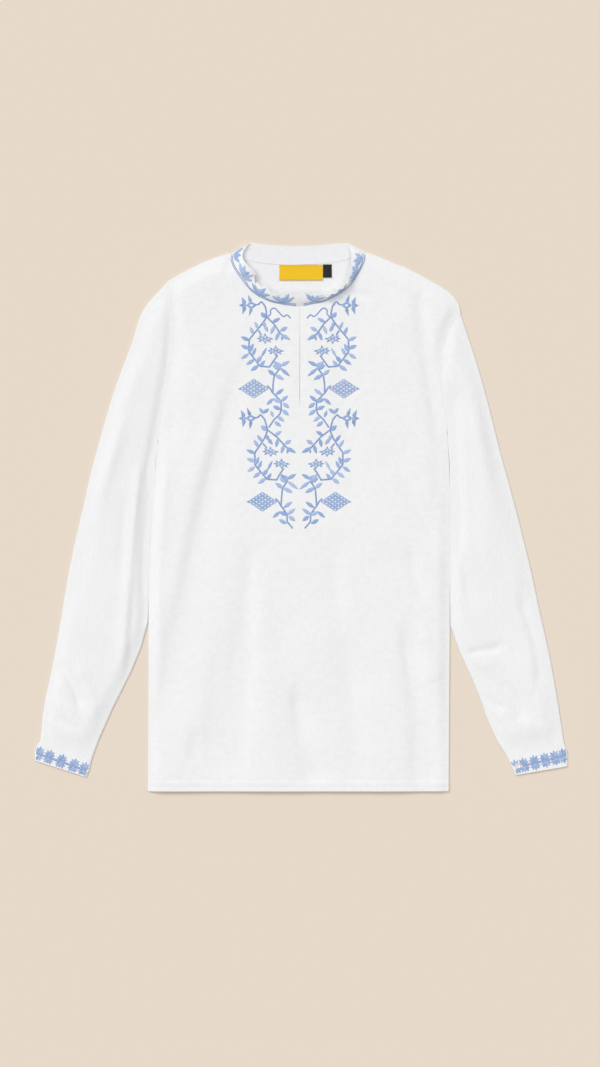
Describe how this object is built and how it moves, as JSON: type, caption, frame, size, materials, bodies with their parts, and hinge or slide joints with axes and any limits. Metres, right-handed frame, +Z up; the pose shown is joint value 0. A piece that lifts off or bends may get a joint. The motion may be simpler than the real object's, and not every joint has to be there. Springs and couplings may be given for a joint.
{
  "type": "vyshyvanka shirt",
  "caption": "Long-sleeved embroidered linen shirt with a stand collar and a slit at the neck, laid flat on its back on a surface",
  "frame": {"origin": "on the surface that the shirt lies on, under the middle of its bounding box", "axes": "+Z up from the surface, +Y from the hem to the collar, +X to the right in the picture"},
  "size_m": [0.7992, 0.823, 0.0238],
  "materials": {
    "linen": "plain weave, matte",
    "embroidered_linen": "plain weave, matte, with blue thread",
    "label_yellow": "woven tape",
    "tab_black": "woven tape",
    "button_pale": "pearly"
  },
  "bodies": {
    "root": {"back_body": "linen", "front_body": "linen", "sleeve_left": "linen", "sleeve_right": "linen", "cuff_left": "embroidered_linen", "cuff_right": "embroidered_linen", "collar_back": "linen", "collar_front_left": "embroidered_linen", "collar_front_right": "embroidered_linen", "neck_label": "label_yellow", "size_tab": "tab_black", "cuff_button": "button_pale"}
  },
  "joints": []
}
